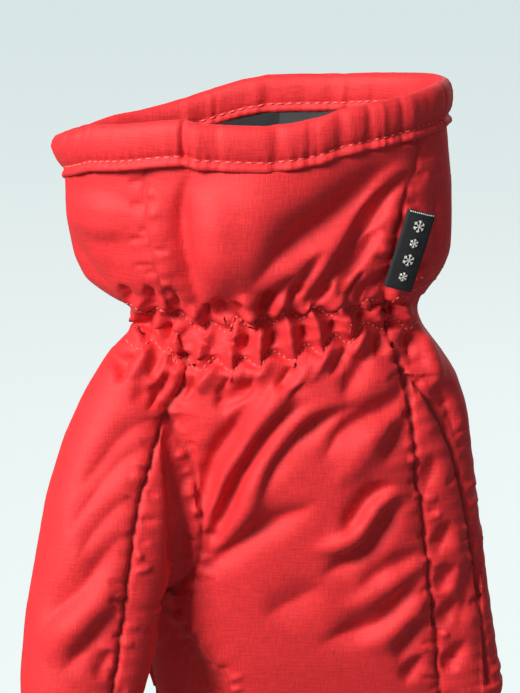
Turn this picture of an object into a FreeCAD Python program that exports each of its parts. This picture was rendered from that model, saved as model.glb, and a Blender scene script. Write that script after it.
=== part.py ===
"""Padded ski glove for a right hand, as an assembly of separate cut panels and layers, in millimetres.

The origin is the centre of the cuff's mouth and +Z points up out of it. The fingers hang along -Z, the palm
faces -Y and the thumb is on the -X side. Three layers nest in each other all the way: a woven shell, a layer
of insulation and a lining. The hand, each digit and the cuff are separate bodies, and a short soft section
of fabric joins each pair where the glove bends.
"""
import FreeCAD, Part

import math
import os

V = FreeCAD.Vector
OUT = "parts"

# Heights where the glove's sections meet.
WRIST_TOP = -62.0          # the gathered wrist section starts here
WRIST_BOTTOM = -80.0       # and ends here, where the hand begins
KNUCKLES = -206.0          # the web between the fingers
WEB = 1.2                  # thickness of that web
HEM_HEIGHT = 12.0          # height of the folded band round the mouth
HEM_FOLD = 2.5             # thickness of its fold along the mouth
HEM_CLOTH = 1.2            # thickness of its walls
HEM_GAP = 0.8              # play between the band and the layers it covers
ELASTIC_TOP = -64.0
ELASTIC_BOTTOM = -78.0

# Trunk from mouth to knuckles: height, centre, half width, half depth, squareness, tilt of the section.
TRUNK = [
    (0.0, -0.5, 66.5, 34.0, 2.0, 8.0),
    (-14.0, 1.0, 65.0, 33.5, 2.0, 7.6),
    (-30.0, 1.4, 63.9, 33.0, 2.0, 6.5),
    (-47.0, 3.5, 62.0, 32.0, 2.0, 5.0),
    (-56.0, 5.5, 58.5, 30.5, 2.0, 4.0),
    (WRIST_TOP, 7.8, 52.5, 28.3, 2.0, 3.5),
    (-70.0, 7.6, 47.0, 26.0, 2.0, 3.0),
    (WRIST_BOTTOM, 10.0, 50.0, 27.0, 2.0, 2.0),
    (-90.0, 13.5, 54.0, 28.0, 2.1, 0.0),
    (-103.0, 15.0, 56.5, 27.5, 2.2, 0.0),
    (-130.0, 17.8, 57.5, 25.0, 2.4, 0.0),
    (-165.0, 20.7, 58.5, 21.5, 2.7, 0.0),
    (-190.0, 22.2, 59.5, 18.0, 3.3, 0.0),
    (KNUCKLES, 23.5, 59.5, 15.5, 4.0, 0.0),
]

# Layers, from outside in: inset of the outer and inner face on the trunk, then the same on a digit.
SHELL = (0.0, 1.2, 0.0, 1.0)
INSULATION = (1.5, 5.5, 1.3, 4.3)
LINING = (5.8, 7.0, 4.6, 5.6)
ELASTIC = (1.6, 2.4)
WRIST_WADDING = (2.8, 5.5)

# Seams as angles round a section, counted from +X by way of +Y, in degrees.
PALM_THUMB_SEAM = 232.0
PALM_OUTER_SEAM = 318.0
BACK_OUTER_SEAM = 5.0
BACK_THUMB_SEAM = 175.0
DIGIT_SEAM = 28.0          # a digit's side walls reach this far either side of its equator
THUMB_FRONT_SEAM = 292.0
THUMB_INNER_SEAM = 40.0
TURN = 360.0
SEAM_PLAY = 0.2            # the hand's neighbouring panels stop this far short of each other

# Digits: point on the axis where it starts, splay and lean of the axis, twist of the section, half width,
# half depth, length, and how far the stretch past the soft section curls, in degrees.
FINGERS = {
    "index": dict(root=(-20.2, 0.0, KNUCKLES), splay=-4.0, lean=5.0, a=13.7, b=13.4, tip=69.0, curl=24.0),
    "middle": dict(root=(8.8, 0.0, KNUCKLES), splay=-1.0, lean=5.0, a=13.8, b=13.6, tip=77.0, curl=24.0),
    "ring": dict(root=(38.1, 0.0, KNUCKLES), splay=2.5, lean=5.0, a=13.7, b=13.4, tip=71.0, curl=26.0),
    "little": dict(root=(66.8, 0.0, KNUCKLES), splay=7.0, lean=5.0, a=13.0, b=12.8, tip=60.0, curl=26.0),
}
THUMB = dict(root=(-35.5, -6.0, WRIST_BOTTOM), splay=-10.5, lean=10.2, twist=12.0, tip=152.0, curl=14.0)
FINGER_SOFT = (0.0, 16.0)  # a finger's soft section, as distances along its axis
THUMB_SOFT = (98.0, 113.0)
# Thumb sections: distance along the axis, half width, half depth.
THUMB_SECTIONS = [(5.0, 5.0, 8.0), (20.0, 17.5, 17.0), (36.0, 21.0, 20.0), (56.0, 23.0, 21.5),
                  (98.0, 22.3, 19.5), (113.0, 20.8, 18.5)]
THUMB_END = (18.0, 16.5)
TAPER = 0.93               # a finger's section before its rounded tip against its root
TIP_STEPS = ((0.45, 0.92), (0.80, 0.70), (1.0, 0.34))   # rounding: share of the way, share of the section
CAP_OVERLAP = 0.5

# Label sewn into the outer side seam of the cuff.
LABEL_TOP = V(50.7, -24.4, -29.0)
LABEL_FOOT = V(43.2, -24.2, -55.2)
LABEL_WIDTH = 11.0
LABEL_LAYER = 0.45
LABEL_GAP = 0.15
LABEL_TURN = 28.0          # the label's face against the cuff's width, in degrees


def arc_points(a, b, square, start, end):
    """Points of a rounded section between two angles."""
    count = max(4, int(abs(end - start) / 15) + 1)
    points = []
    for i in range(count + 1):
        t = math.radians(start + (end - start) * i / count)
        c, s = math.cos(t), math.sin(t)
        x = a * math.copysign(abs(c) ** (2 / square), c)
        y = b * math.copysign(abs(s) ** (2 / square), s)
        points.append(V(x, y, 0))
    return points


def spline(points, closed=False):
    curve = Part.BSplineCurve()
    curve.interpolate(points, PeriodicFlag=closed)
    return curve.toShape()


def band_wire(row, place, outer, inner, start, end):
    """Closed outline of a layer's cross-section between two angles."""
    a, b, square = row
    out = [place.multVec(p) for p in arc_points(a - outer, b - outer, square, start, end)]
    back = [place.multVec(p) for p in arc_points(a - inner, b - inner, square, end, start)]
    edges = [spline(out), Part.makeLine(out[-1], back[0]), spline(back), Part.makeLine(back[-1], out[0])]
    return Part.Wire(edges)


def full_wire(row, place, inset):
    a, b, square = row
    points = [place.multVec(p) for p in arc_points(a - inset, b - inset, square, 0.0, TURN)[:-1]]
    return Part.Wire(spline(points, closed=True))


def band(rows, outer, inner, start, end):
    """Solid of one layer between two angles, through (section, placement) rows."""
    return Part.makeLoft([band_wire(row, place, outer, inner, start, end) for row, place in rows], True, False)


def core(rows, inset):
    """Solid that fills everything inside one face of a layer."""
    return Part.makeLoft([full_wire(row, place, inset) for row, place in rows], True, False)


def trunk_row(z):
    """Section and placement of the trunk at a height, between the listed sections."""
    for (z0, *upper), (z1, *lower) in zip(TRUNK, TRUNK[1:]):
        if z1 <= z <= z0:
            share = (z0 - z) / (z0 - z1)
            cx, a, b, square, tilt = [u + share * (w - u) for u, w in zip(upper, lower)]
            return (a, b, square), FreeCAD.Placement(V(cx, 0, z), FreeCAD.Rotation(V(0, 1, 0), -tilt))
    raise ValueError(z)


def trunk_rows(top, bottom):
    heights = [z for z, *_ in TRUNK if bottom + 1 < z < top - 1]
    return [trunk_row(z) for z in [top, *heights, bottom]]


def ring(rows, outer, inner):
    """A whole layer round a section, as two half solids."""
    return [band(rows, outer, inner, 0.0, TURN / 2), band(rows, outer, inner, TURN / 2, TURN)]


def digit_frame(digit):
    """Placement of a digit's own frame: its axis is local -Z and it curls towards local -Y."""
    splay = FreeCAD.Rotation(V(0, 1, 0), -digit["splay"])
    lean = FreeCAD.Rotation(V(1, 0, 0), -digit["lean"])
    twist = FreeCAD.Rotation(V(0, 0, 1), digit.get("twist", 0.0))
    return FreeCAD.Placement(V(*digit["root"]), splay.multiply(lean).multiply(twist))


def soft_span(digit):
    return THUMB_SOFT if digit is THUMB else FINGER_SOFT


def along(digit, s):
    """Placement on a digit's centreline: straight as far as the soft section's end, then an arc."""
    straight = soft_span(digit)[1]
    if s <= straight:
        local = FreeCAD.Placement(V(0, 0, -s), FreeCAD.Rotation())
    else:
        bend = math.radians(digit["curl"]) / (digit["tip"] - straight)
        angle = bend * (s - straight)
        drop = V(0, -(1 - math.cos(angle)) / bend, -straight - math.sin(angle) / bend)
        local = FreeCAD.Placement(drop, FreeCAD.Rotation(V(1, 0, 0), -math.degrees(angle)))
    return digit_frame(digit).multiply(local)


def digit_end(digit):
    """Half width and half depth of a digit just before its tip starts to round off."""
    if digit is THUMB:
        return THUMB_END
    return digit["a"] * TAPER, digit["b"] * TAPER


def straight_rows(digit, low, high):
    """Sections of a digit between two distances of its straight stretch."""
    if digit is THUMB:
        sizes = [(s, a, b) for s, a, b in THUMB_SECTIONS if low <= s <= high]
    else:
        sizes = [(s, digit["a"], digit["b"]) for s in (low, high)]
    rows = []
    for s, a, b in sizes:
        place = along(digit, s)
        if s == 0.0:
            place = FreeCAD.Placement(place.Base, FreeCAD.Rotation())
        rows.append(((a, b, 2.3), place))
    return rows


def far_rows(digit):
    """Sections of a digit from the end of its soft section to where its tip starts to round off."""
    start = soft_span(digit)[1]
    a0, b0 = THUMB_SECTIONS[-1][1:] if digit is THUMB else (digit["a"], digit["b"])
    a1, b1 = digit_end(digit)
    end = digit["tip"] - min(a1, b1)
    rows = []
    for i in range(4):
        share = i / 3
        size = (a0 + share * (a1 - a0), b0 + share * (b1 - b0), 2.3)
        rows.append((size, along(digit, start + share * (end - start))))
    return rows


def dome(digit, inset, lift):
    """Filled rounded tip of a digit, starting lift above where the rounding begins."""
    a, b = digit_end(digit)
    a, b = a - inset, b - inset
    base = digit["tip"] - min(digit_end(digit))
    depth = min(a, b)
    rows = [((a, b, 2.3), along(digit, base - lift))]
    if lift > 0:
        rows.append(((a, b, 2.3), along(digit, base)))
    for way, size in TIP_STEPS:
        rows.append(((a * size, b * size, 2.3), along(digit, base + depth * way)))
    return core(rows, 0.0)


def cap(digit, outer, inner):
    return dome(digit, outer, 0.0).cut(dome(digit, inner, CAP_OVERLAP))


def save(name, *shapes):
    """Writes one node from the closed solids in the given shapes."""
    solids = [s for shape in shapes for s in shape.Solids if s.Volume > 2.0]
    shape = solids[0] if len(solids) == 1 else Part.makeCompound(solids)
    if not shape.isValid():
        print("NOT VALID", name)
    shape.exportStep(os.path.join(OUT, name + ".step"))
    print(f"{name:28s} {len(solids)} solids {sum(s.Volume for s in solids) / 1000:8.2f} cm3")


def cuff():
    """The gauntlet above the wrist: its panels, padding, lining and the band folded over its edge."""
    rows = trunk_rows(-HEM_FOLD - HEM_GAP, WRIST_TOP)
    save("cuff_palm_panel", band(rows, *SHELL[:2], PALM_THUMB_SEAM, PALM_OUTER_SEAM))
    save("cuff_back_panel", band(rows, *SHELL[:2], PALM_OUTER_SEAM - TURN, PALM_THUMB_SEAM))
    save("cuff_insulation_palm", band(rows, *INSULATION[:2], TURN / 2, TURN))
    save("cuff_insulation_back", band(rows, *INSULATION[:2], 0.0, TURN / 2))
    save("cuff_lining", *ring(rows, *LINING[:2]))
    outside = -HEM_GAP - HEM_CLOTH
    inside = LINING[1] + HEM_GAP + HEM_CLOTH
    walls = trunk_rows(-HEM_FOLD, -HEM_HEIGHT)
    fold = ring(trunk_rows(0.0, -HEM_FOLD), outside, inside)
    save("hem_band", *ring(walls, outside, -HEM_GAP), *fold)
    save("hem_facing", *ring(walls, inside - HEM_CLOTH, inside))


def wrist():
    """The gathered section, which gives way when the wrist bends, with the elastic tape inside it."""
    rows = trunk_rows(WRIST_TOP, WRIST_BOTTOM)
    save("wrist_gather_palm", band(rows, *SHELL[:2], PALM_THUMB_SEAM, PALM_OUTER_SEAM))
    save("wrist_gather_back", band(rows, *SHELL[:2], PALM_OUTER_SEAM - TURN, PALM_THUMB_SEAM))
    reach = 2 * TRUNK[0][2]
    slab = Part.makeBox(2 * reach, 2 * reach, ELASTIC_TOP - ELASTIC_BOTTOM, V(-reach, -reach, ELASTIC_BOTTOM))
    save("wrist_elastic", *[half.common(slab) for half in ring(rows, *ELASTIC)])
    save("wrist_insulation", *ring(rows, *WRIST_WADDING))
    save("wrist_lining", *ring(rows, *LINING[:2]))


def hand():
    """Palm, back and side panels of the hand, the layers inside them, and the thumb's root."""
    rows = trunk_rows(WRIST_BOTTOM, KNUCKLES + WEB)
    root_rows = straight_rows(THUMB, 0.0, THUMB_SOFT[0])
    root = core(root_rows, 0.0)
    panels = {
        "palm_panel": (SHELL, PALM_THUMB_SEAM, PALM_OUTER_SEAM),
        "side_strip_outer": (SHELL, PALM_OUTER_SEAM - TURN, BACK_OUTER_SEAM),
        "back_panel": (SHELL, BACK_OUTER_SEAM, BACK_THUMB_SEAM),
        "side_strip_thumb": (SHELL, BACK_THUMB_SEAM, PALM_THUMB_SEAM),
        "hand_insulation_palm": (INSULATION, TURN / 2, TURN),
        "hand_insulation_back": (INSULATION, 0.0, TURN / 2),
        "hand_lining_palm": (LINING, TURN / 2, TURN),
        "hand_lining_back": (LINING, 0.0, TURN / 2),
    }
    for name, (layer, start, end) in panels.items():
        panel = band(rows, layer[0], layer[1], start + SEAM_PLAY, end)
        save(name, panel if name == "side_strip_outer" else panel.cut(root))
    tube = {
        "thumb_root_outer_panel": [band(root_rows, *SHELL[2:], THUMB_INNER_SEAM, THUMB_FRONT_SEAM)],
        "thumb_root_gusset": [band(root_rows, *SHELL[2:], THUMB_FRONT_SEAM - TURN, THUMB_INNER_SEAM)],
        "thumb_root_insulation": ring(root_rows[1:], *INSULATION[2:]),
        "thumb_root_lining": ring(root_rows[1:], *LINING[2:]),
    }
    trunk_core = core(rows, 0.0)
    for name, shapes in tube.items():
        save(name, *[s.cut(trunk_core) for s in shapes])
    web = Part.Face(full_wire(*trunk_row(KNUCKLES), 0.0)).extrude(V(0, 0, WEB))
    for digit in FINGERS.values():
        size = (digit["a"], digit["b"], 2.3)
        place = FreeCAD.Placement(V(*digit["root"]) - V(0, 0, WEB), FreeCAD.Rotation())
        web = web.cut(Part.Face(full_wire(size, place, LINING[3])).extrude(V(0, 0, 3 * WEB)))
    save("finger_web", web)


def digit_parts(name, digit):
    """One finger or the thumb beyond its soft section, and the soft section itself."""
    rows = far_rows(digit)
    half = TURN / 2
    save(f"{name}_front_panel", band(rows, *SHELL[2:], half + DIGIT_SEAM, TURN - DIGIT_SEAM))
    walls = [band(rows, *SHELL[2:], -DIGIT_SEAM, DIGIT_SEAM)]
    walls.append(band(rows, *SHELL[2:], half - DIGIT_SEAM, half + DIGIT_SEAM))
    save(f"{name}_side_walls", *walls)
    save(f"{name}_back_panel", band(rows, *SHELL[2:], DIGIT_SEAM, half - DIGIT_SEAM), cap(digit, *SHELL[2:]))
    save(f"{name}_insulation", *ring(rows, *INSULATION[2:]), cap(digit, *INSULATION[2:]))
    save(f"{name}_lining", *ring(rows, *LINING[2:]), cap(digit, *LINING[2:]))
    save(f"{name}_soft_section", *ring(straight_rows(digit, *soft_span(digit)), 0.0, LINING[3]))


def label():
    """A woven label folded double, hanging from the seam by its long edge."""
    turn = math.radians(LABEL_TURN)
    down = (LABEL_FOOT - LABEL_TOP).normalize()
    across = V(math.cos(turn), math.sin(turn), 0)
    across = (across - down * across.dot(down)).normalize()
    out = across.cross(down)
    if out.y > 0:
        out = out * -1
    length = (LABEL_FOOT - LABEL_TOP).Length
    for name, low in (("label_front_layer", LABEL_LAYER + LABEL_GAP), ("label_back_layer", 0.0)):
        start = LABEL_TOP + out * low
        far = across * LABEL_WIDTH
        corners = [start, start + far, start + far + down * length, start + down * length]
        face = Part.Face(Part.makePolygon([*corners, corners[0]]))
        save(name, face.extrude(out * LABEL_LAYER))
    print("label hinge axis", down, "out", out)


def main():
    os.makedirs(OUT, exist_ok=True)
    cuff()
    wrist()
    hand()
    for name, digit in {"thumb": THUMB, **FINGERS}.items():
        digit_parts(name, digit)
        hinge = along(digit, sum(soft_span(digit)) / 2)
        axis = hinge.Rotation.multVec(V(-1, 0, 0))
        print(f"hinge {name}", [round(x, 2) for x in hinge.Base], [round(x, 5) for x in axis])
    label()


main()
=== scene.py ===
import bpy
import math
import numpy as np
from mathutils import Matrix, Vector
from mathutils.bvhtree import BVHTree


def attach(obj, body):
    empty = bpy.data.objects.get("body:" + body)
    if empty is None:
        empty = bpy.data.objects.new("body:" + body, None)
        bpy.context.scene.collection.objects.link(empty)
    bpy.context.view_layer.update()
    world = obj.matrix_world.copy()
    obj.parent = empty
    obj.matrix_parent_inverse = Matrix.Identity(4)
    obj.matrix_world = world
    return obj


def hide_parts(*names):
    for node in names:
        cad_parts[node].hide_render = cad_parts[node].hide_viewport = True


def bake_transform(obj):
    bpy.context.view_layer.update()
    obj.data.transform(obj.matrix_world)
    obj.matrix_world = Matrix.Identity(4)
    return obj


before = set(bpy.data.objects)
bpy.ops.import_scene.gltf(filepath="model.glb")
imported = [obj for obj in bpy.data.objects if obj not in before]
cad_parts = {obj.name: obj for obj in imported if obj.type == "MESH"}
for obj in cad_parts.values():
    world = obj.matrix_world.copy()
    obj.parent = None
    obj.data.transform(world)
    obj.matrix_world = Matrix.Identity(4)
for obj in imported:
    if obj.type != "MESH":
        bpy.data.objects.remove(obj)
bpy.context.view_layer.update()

MM = 0.001
rng = np.random.default_rng(11)

# ---------- shape of the glove, in millimetres
# Trunk: height, centre, half width, half depth, squareness, tilt of the section.
TRUNK = [
    (26.0, -0.4, 65.0, 34.0, 2.0, 8.0),
    (0.0, -0.4, 64.2, 33.4, 2.0, 8.0),
    (-14.0, 1.2, 64.4, 33.6, 2.0, 7.6),
    (-30.0, 2.2, 64.8, 34.0, 2.0, 6.5),
    (-44.0, 3.4, 64.0, 33.6, 2.0, 5.4),
    (-54.0, 5.2, 61.6, 32.2, 2.0, 4.3),
    (-60.0, 7.6, 56.0, 29.0, 2.0, 3.8),
    (-65.0, 9.2, 49.6, 25.8, 2.0, 3.4),
    (-71.0, 9.6, 46.6, 24.5, 2.0, 3.0),
    (-77.0, 8.0, 50.6, 25.6, 2.0, 2.4),
    (-83.0, 9.2, 54.6, 28.0, 2.0, 1.4),
    (-91.0, 13.7, 56.2, 29.4, 2.05, 0.0),
    (-103.0, 16.0, 57.8, 29.6, 2.1, 0.0),
    (-130.0, 18.8, 58.8, 28.0, 2.15, 0.0),
    (-165.0, 22.1, 60.0, 24.2, 2.25, 0.0),
    (-190.0, 24.4, 61.4, 20.4, 2.5, 0.0),
    (-204.0, 26.0, 61.7, 17.2, 2.9, 0.0),
    (-210.0, 26.2, 59.5, 14.0, 3.0, 0.0),
]
KNUCKLES = -206.0
DIGIT_SQUARE = 2.3  # squareness of a digit's section
VOXEL = 1.7  # grid that the union of trunk and digits is rebuilt on
INDEX_RECESS = 9.0  # how far the hand's side wall is set back beside the thumb
BAND_DEPTH = 5.0  # the shell ends this far below the mouth's edge, inside the hem band


def finger(x, splay, a, b, tip, curl):
    """A finger: where its axis starts, splay and lean of the axis, half width and depth, length, curl."""
    root = (x, 0.0, KNUCKLES)
    return dict(root=root, soft=(0.0, 16.0), splay=splay, lean=5.0, a=a, b=b, tip=tip, curl=curl)


FINGERS = {
    "index": finger(-20.2, -4.0, 13.7, 13.4, 69.0, 24.0),
    "middle": finger(8.8, -1.0, 13.8, 13.6, 77.0, 24.0),
    "ring": finger(38.1, 2.5, 13.7, 13.4, 71.0, 26.0),
    "little": finger(66.8, 7.0, 13.0, 12.8, 60.0, 26.0),
}
THUMB = dict(root=(-35.5, -6.0, -80.0), soft=(98.0, 113.0), splay=-11.0, lean=10.2, twist=12.0, tip=152.0,
             curl=14.0)
# Thumb: way along its axis, half width, half depth.
THUMB_SECTIONS = [(-4.0, 7.0, 9.0), (5.0, 12.5, 13.0), (20.0, 18.0, 17.5), (36.0, 21.8, 20.6),
                  (56.0, 24.0, 22.2), (98.0, 23.6, 20.2), (113.0, 22.0, 19.0)]


def rot(axis, degrees):
    """Turn about a unit axis, as a matrix."""
    a = math.radians(degrees)
    x, y, z = axis
    c, s = math.cos(a), math.sin(a)
    return np.array([
        [c + x * x * (1 - c), x * y * (1 - c) - z * s, x * z * (1 - c) + y * s],
        [y * x * (1 - c) + z * s, c + y * y * (1 - c), y * z * (1 - c) - x * s],
        [z * x * (1 - c) - y * s, z * y * (1 - c) + x * s, c + z * z * (1 - c)],
    ])


def digit_frame(d):
    """Turn and starting point of a digit's axis."""
    turn = rot((0, 1, 0), -d["splay"]) @ rot((1, 0, 0), -d["lean"]) @ rot((0, 0, 1), d.get("twist", 0.0))
    return turn, np.array(d["root"])


def along(d, s):
    """Turn and point at a way s along a digit: straight as far as its soft section's end, then an arc."""
    turn, start = digit_frame(d)
    straight = d["soft"][1]
    if s <= straight:
        return turn, start + turn @ np.array([0, 0, -s])
    bend = math.radians(d["curl"]) / (d["tip"] - straight)
    angle = bend * (s - straight)
    local = np.array([0, -(1 - math.cos(angle)) / bend, -straight - math.sin(angle) / bend])
    return turn @ rot((1, 0, 0), -math.degrees(angle)), start + turn @ local


def in_frame(d, co):
    """Points as a digit's own frame sees them."""
    turn, start = digit_frame(d)
    return (co - start) @ turn


def smoothstep(x, lo, hi):
    """0 below lo, 1 above hi, smooth between."""
    t = np.clip((x - lo) / (hi - lo), 0.0, 1.0)
    return t * t * (3 - 2 * t)


def trunk_at(z):
    """The trunk's centre, half width, half depth, squareness and tilt at a height."""
    heights, *columns = zip(*reversed(TRUNK))
    return [np.interp(z, heights, column) for column in columns]


def section(a, b, square, count=96):
    """Points round a superellipse."""
    t = np.linspace(0, 2 * math.pi, count, endpoint=False)
    c, s = np.cos(t), np.sin(t)
    x = a * np.sign(c) * np.abs(c) ** (2 / square)
    y = b * np.sign(s) * np.abs(s) ** (2 / square)
    return np.stack([x, y, np.zeros_like(x)], 1)


def ring_faces(rows, count, closed=False):
    """Quads between neighbouring rings of equal count; closed also joins the last ring to the first."""
    faces = []
    for r in range(rows if closed else rows - 1):
        low, high = r * count, (r + 1) % rows * count
        for i in range(count):
            j = (i + 1) % count
            faces.append((low + i, low + j, high + j, high + i))
    return faces


def tube(rings):
    """Closed mesh through rings of equal count, with a fan at each end."""
    count = len(rings[0])
    co = np.concatenate(rings)
    faces = ring_faces(len(rings), count)
    for r, flip in ((0, True), (len(rings) - 1, False)):
        centre = len(co)
        co = np.vstack([co, rings[r].mean(0)])
        for i in range(count):
            j = (i + 1) % count
            tri = (r * count + i, r * count + j, centre)
            faces.append(tri if not flip else tri[::-1])
    return co, faces


def trunk_tube():
    rings = []
    for z in np.linspace(26, -209, 96):
        cx, a, b, square, tilt = trunk_at(z)
        ring = section(a, b, square) @ rot((0, 1, 0), -tilt).T
        rings.append(ring + np.array([cx, 0, z]))
    return tube(rings)


def digit_size(d, s):
    """Half width and half depth of a digit up to its soft section's end."""
    if d is THUMB:
        way, a, b = zip(*THUMB_SECTIONS)
        return np.interp(s, way, a), np.interp(s, way, b)
    return d["a"] - 0.4 * smoothstep(s, 16, -8), d["b"] - 3.5 * smoothstep(s, 6, -10)


def digit_tube(d):
    """A digit from inside the hand to its rounded tip."""
    # the way along the axis that it starts at, and the half width and depth it closes in on
    start, end = (-4.0, (18.3, 16.8)) if d is THUMB else (-10.0, (d["a"] * 0.93, d["b"] * 0.93))
    straight = d["soft"][1]
    rounding = min(end) * 0.95
    base = d["tip"] - rounding
    rings = []
    for s in np.linspace(start, base, 40):
        a, b = digit_size(d, min(s, straight))
        share = smoothstep(s, straight, base) if s > straight else 0.0
        a, b = a + (end[0] - a) * share, b + (end[1] - b) * share
        turn, p = along(d, s)
        rings.append(section(a, b, DIGIT_SQUARE, 64) @ turn.T + p)
    for w in np.arange(1, 9) / 8.3 * math.pi / 2:
        turn, p = along(d, base + rounding * math.sin(w))
        rings.append(section(end[0] * math.cos(w), end[1] * math.cos(w), 2.2, 64) @ turn.T + p)
    return tube(rings)


def make_object(name, co, faces):
    me = bpy.data.meshes.new(name)
    me.from_pydata([tuple(v) for v in co], [], [tuple(int(i) for i in f) for f in faces])
    me.update()
    ob = bpy.data.objects.new(name, me)
    bpy.context.scene.collection.objects.link(ob)
    return ob


def joined(parts):
    """One array of vertices and one list of faces out of several meshes."""
    co, faces = [], []
    for c, f in parts:
        base = sum(len(x) for x in co)
        co.append(c)
        faces += [tuple(i + base for i in face) for face in f]
    return np.concatenate(co), faces


def modified(co, faces, kind, **settings):
    """Vertices and faces of a mesh after one modifier."""
    ob = make_object("work", co, faces)
    mod = ob.modifiers.new("change", kind)
    for key, value in settings.items():
        setattr(mod, key, value)
    deps = bpy.context.evaluated_depsgraph_get()
    me = bpy.data.meshes.new_from_object(ob.evaluated_get(deps))
    co = np.empty(len(me.vertices) * 3)
    me.vertices.foreach_get("co", co)
    faces = [tuple(p.vertices) for p in me.polygons]
    bpy.data.meshes.remove(me)
    old = ob.data
    bpy.data.objects.remove(ob)
    bpy.data.meshes.remove(old)
    return co.reshape(-1, 3), faces


class Net:
    """Vertices, faces and the neighbour sums used for smoothing and normals."""

    def __init__(self, co, faces):
        self.co = np.array(co, float)
        self.faces = faces
        edges = set()
        for f in faces:
            for i, j in zip(f, f[1:] + f[:1]):
                edges.add((min(i, j), max(i, j)))
        self.edges = np.array(sorted(edges))
        self.degree = np.bincount(self.edges.ravel(), minlength=len(self.co)).astype(float)

    def average(self, values):
        """Mean of the neighbours' values at each vertex."""
        i, j = self.edges.T
        cols = values.reshape(len(values), -1)
        res = np.empty_like(cols)
        for k in range(cols.shape[1]):
            res[:, k] = np.bincount(i, cols[j, k], len(cols)) + np.bincount(j, cols[i, k], len(cols))
        res /= np.maximum(self.degree, 1)[:, None]
        return res.reshape(values.shape)

    def smooth(self, rounds, weight, mask=None):
        w = weight if mask is None else (weight * mask)[:, None]
        for _ in range(rounds):
            self.co += w * (self.average(self.co) - self.co)

    def normals(self):
        quads = np.array([f if len(f) == 4 else (f[0], f[1], f[2], f[2]) for f in self.faces])
        a, b, c, d = (self.co[quads[:, k]] for k in range(4))
        n = np.cross(c - a, d - b)
        out = np.zeros_like(self.co)
        for k in range(4):
            for ax in range(3):
                out[:, ax] += np.bincount(quads[:, k], n[:, ax], len(self.co))
        return out / np.maximum(np.linalg.norm(out, axis=1, keepdims=True), 1e-9)


def line_distance(px, pz, points):
    """Distance of each (px, pz) from a polyline and the share of the way along it."""
    pts = np.array(points, float)
    seg = np.diff(pts, axis=0)
    lengths = np.linalg.norm(seg, axis=1)
    starts = np.concatenate([[0], np.cumsum(lengths)])
    best = np.full(len(px), 1e9)
    share = np.zeros(len(px))
    side = np.zeros(len(px))
    for k in range(len(seg)):
        dx, dz = px - pts[k, 0], pz - pts[k, 1]
        t = np.clip((dx * seg[k, 0] + dz * seg[k, 1]) / lengths[k] ** 2, 0, 1)
        ex, ez = dx - t * seg[k, 0], dz - t * seg[k, 1]
        dist = np.hypot(ex, ez)
        near = dist < best
        best = np.where(near, dist, best)
        share = np.where(near, (starts[k] + t * lengths[k]) / starts[-1], share)
        side = np.where(near, np.sign(seg[k, 0] * dz - seg[k, 1] * dx), side)
    return best, share, side


def spline_points(points, step=1.5):
    """Smooth curve through points, evenly sampled."""
    p = np.array(points, float)
    q = np.vstack([2 * p[0] - p[1], p, 2 * p[-1] - p[-2]])
    out = []
    for k in range(1, len(q) - 2):
        n = max(2, int(np.linalg.norm(q[k + 1] - q[k]) / step))
        for i in range(n):
            t = i / n
            second = 2 * q[k - 1] - 5 * q[k] + 4 * q[k + 1] - q[k + 2]
            third = 3 * q[k] - q[k - 1] - 3 * q[k + 1] + q[k + 2]
            out.append(0.5 * (2 * q[k] + (q[k + 1] - q[k - 1]) * t + second * t * t + third * t ** 3))
    out.append(p[-1])
    return np.array(out)


# Seams on the palm side, as they run over the front of the glove: (x, z).
CUFF_THUMB_SEAM = [(-35, -4), (-35, -28), (-34, -37), (-31, -50), (-28.5, -60), (-25.5, -70), (-22.5, -80)]
CUFF_OUTER_SEAM = [(54.7, 2), (54.3, -15), (51.7, -26), (48.5, -42), (45.5, -56), (44.5, -64)]
THUMB_SEAM = [(-22.5, -80), (-24.3, -89), (-28, -101), (-32.5, -113), (-35.3, -121), (-38, -134),
              (-39.6, -146), (-41.5, -160), (-44.3, -181), (-46.5, -196), (-50, -212), (-53.5, -222)]
GUSSET_SEAM = [(-28, -101), (-24, -109), (-21, -115), (-18.6, -126), (-17, -133), (-16.9, -141),
               (-17.9, -149), (-20, -155), (-26.5, -164)]
PALM_INDEX_SEAM = [(-26.5, -164), (-29.4, -171), (-24, -178), (-19.5, -183), (-12, -193), (-9, -197),
                   (-8, -206)]
PALM_OUTER_SEAM = [(44.5, -64), (48.5, -78), (53, -89), (54.2, -99), (56.7, -122), (58.3, -134),
                   (60.4, -152), (62.5, -167), (63.8, -178), (64.4, -196), (65.5, -206)]
BRANCH_SEAM = [(53, -89), (61.3, -98), (68, -114), (73, -133), (76.5, -152), (79.5, -172), (82.5, -200)]
FRONT_SEAMS = [CUFF_THUMB_SEAM, CUFF_OUTER_SEAM, THUMB_SEAM, GUSSET_SEAM, PALM_INDEX_SEAM, PALM_OUTER_SEAM]
BACK_SEAMS = [[(-42, -4), (-40, -30), (-33, -60), (-30, -80)], [(52, -4), (52, -30), (47, -60), (46, -80)],
              [(-30, -80), (-29, -110), (-30, -160), (-31, -206)],
              [(46, -80), (58, -110), (68, -160), (72, -206)]]

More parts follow.
